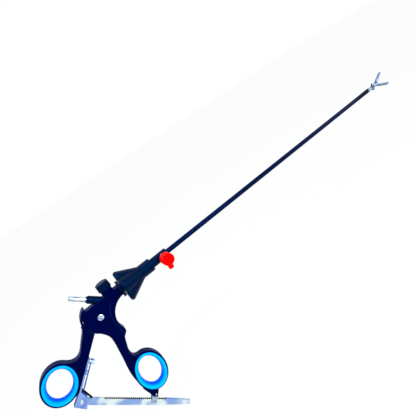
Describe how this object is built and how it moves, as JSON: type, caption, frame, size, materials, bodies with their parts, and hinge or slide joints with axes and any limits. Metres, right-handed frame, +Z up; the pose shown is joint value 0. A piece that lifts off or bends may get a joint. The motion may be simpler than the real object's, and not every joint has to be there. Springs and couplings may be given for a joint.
{
  "type": "laparoscopic grasper",
  "caption": "Reusable 5 mm laparoscopic grasper: ring handle with ratchet, rotation knob with flushing port, long insulated shaft and double-action serrated jaws.",
  "frame": {"origin": "on the shaft axis at the hub's front face, where the working length starts", "axes": "+X along the shaft to the jaws, +Z up towards the release button, the handle in the XZ plane, flushing port along -Y at rest"},
  "size_m": [0.5175, 0.0366, 0.1631],
  "materials": {
    "handle_plastic": "injection-moulded black PEEK, fine satin grain",
    "knob_plastic": "moulded black plastic, semi-matt",
    "ring_cushion": "moulded blue soft plastic, smooth",
    "steel": "fine-ground stainless steel",
    "polished_steel": "polished stainless steel",
    "black_steel": "blackened, dark oxide steel",
    "tube_coat": "shrunk black insulation, semi-gloss",
    "sleeve_ceramic": "dark grey insulating sleeve",
    "cap_silicone": "red silicone rubber",
    "seal_rubber": "pale seal rubber"
  },
  "bodies": {
    "handle": {"fixed_handle": "handle_plastic", "finger_ring_insert": "ring_cushion", "pivot_screw": "steel", "pivot_nut": "steel", "nose_spindle": "steel", "spindle_clip": "steel", "hf_pin_insulator": "handle_plastic", "hf_connector_pin": "polished_steel", "ratchet_guide": "steel", "guide_pin": "steel", "button_spring": "steel"},
    "thumb_lever": {"thumb_handle": "handle_plastic", "thumb_ring_insert": "ring_cushion", "ratchet_bracket": "steel", "bracket_screw": "polished_steel", "spring_spacer": "steel", "spring_screw": "polished_steel", "ratchet_leaf_spring": "steel", "ratchet_pivot_pin": "polished_steel"},
    "ratchet": {"ratchet_bar": "steel", "ratchet_release_finger": "black_steel"},
    "button": {"release_button": "knob_plastic", "button_stem": "steel"},
    "shaft": {"rotation_knob": "knob_plastic", "knob_collar": "knob_plastic", "sheath_hub": "polished_steel", "hub_seal": "seal_rubber", "luer_port": "polished_steel", "outer_tube": "steel", "tube_insulation": "tube_coat", "distal_sleeve": "sleeve_ceramic", "clevis": "steel", "jaw_pivot_pin": "steel"},
    "rod": {"drive_rod": "steel", "rod_end_ball": "steel", "rod_link_pin": "steel"},
    "jaw_upper": {"upper_jaw": "steel", "upper_tail_pin": "steel"},
    "jaw_lower": {"lower_jaw": "steel", "lower_tail_pin": "steel"},
    "link_upper": {"upper_link": "steel"},
    "link_lower": {"lower_link": "steel"},
    "port_cap": {"luer_cap": "cap_silicone"}
  },
  "joints": [
    {"name": "lever_hinge", "type": "hinge", "parent": "handle", "child": "thumb_lever", "pos_m": [-0.081, 0, -0.0077], "axis": [0, -1, 0], "range_deg": [0, 14]},
    {"name": "ratchet_hinge", "type": "hinge", "parent": "thumb_lever", "child": "ratchet", "pos_m": [-0.136, 0, -0.0585], "axis": [0, 1, 0], "range_deg": [0, 17.46], "deforming": ["ratchet_leaf_spring"]},
    {"name": "shaft_turn", "type": "hinge", "parent": "handle", "child": "shaft", "pos_m": [0, 0, 0], "axis": [1, 0, 0], "continuous": true},
    {"name": "rod_slide", "type": "slide", "parent": "shaft", "child": "rod", "axis": [-1, 0, 0], "range_m": [0, 0.0019]},
    {"name": "upper_jaw_hinge", "type": "hinge", "parent": "shaft", "child": "jaw_upper", "pos_m": [0.3427, 0, 0], "axis": [0, 0.9659, -0.2588], "range_deg": [0, 23.01]},
    {"name": "lower_jaw_hinge", "type": "hinge", "parent": "shaft", "child": "jaw_lower", "pos_m": [0.3427, 0, 0], "axis": [0, -0.9659, 0.2588], "range_deg": [0, 23.01]},
    {"name": "upper_link_hinge", "type": "hinge", "parent": "rod", "child": "link_upper", "pos_m": [0.33146, 0, 0], "axis": [0, -0.9659, 0.2588], "range_deg": [0, 23.01]},
    {"name": "lower_link_hinge", "type": "hinge", "parent": "rod", "child": "link_lower", "pos_m": [0.33146, 0, 0], "axis": [0, 0.9659, -0.2588], "range_deg": [0, 23.01]},
    {"name": "button_press", "type": "slide", "parent": "handle", "child": "button", "axis": [0, 0, -1], "range_m": [0, 0.002], "stiffness_N_per_m": 300, "deforming": ["button_spring"]},
    {"name": "cap_pull", "type": "slide", "parent": "shaft", "child": "port_cap", "axis": [0, -1, 0], "range_m": [0, 0.009]}
  ],
  "couplings": [
    {"joint": "ratchet_hinge", "follows": "lever_hinge", "ratio": 1.2469},
    {"joint": "rod_slide", "follows": "lever_hinge", "m_per_rad": 0.0077546},
    {"joint": "upper_jaw_hinge", "follows": "lever_hinge", "ratio": 1.6429},
    {"joint": "lower_jaw_hinge", "follows": "lever_hinge", "ratio": 1.6429},
    {"joint": "upper_link_hinge", "follows": "lever_hinge", "ratio": 1.6429},
    {"joint": "lower_link_hinge", "follows": "lever_hinge", "ratio": 1.6429}
  ]
}
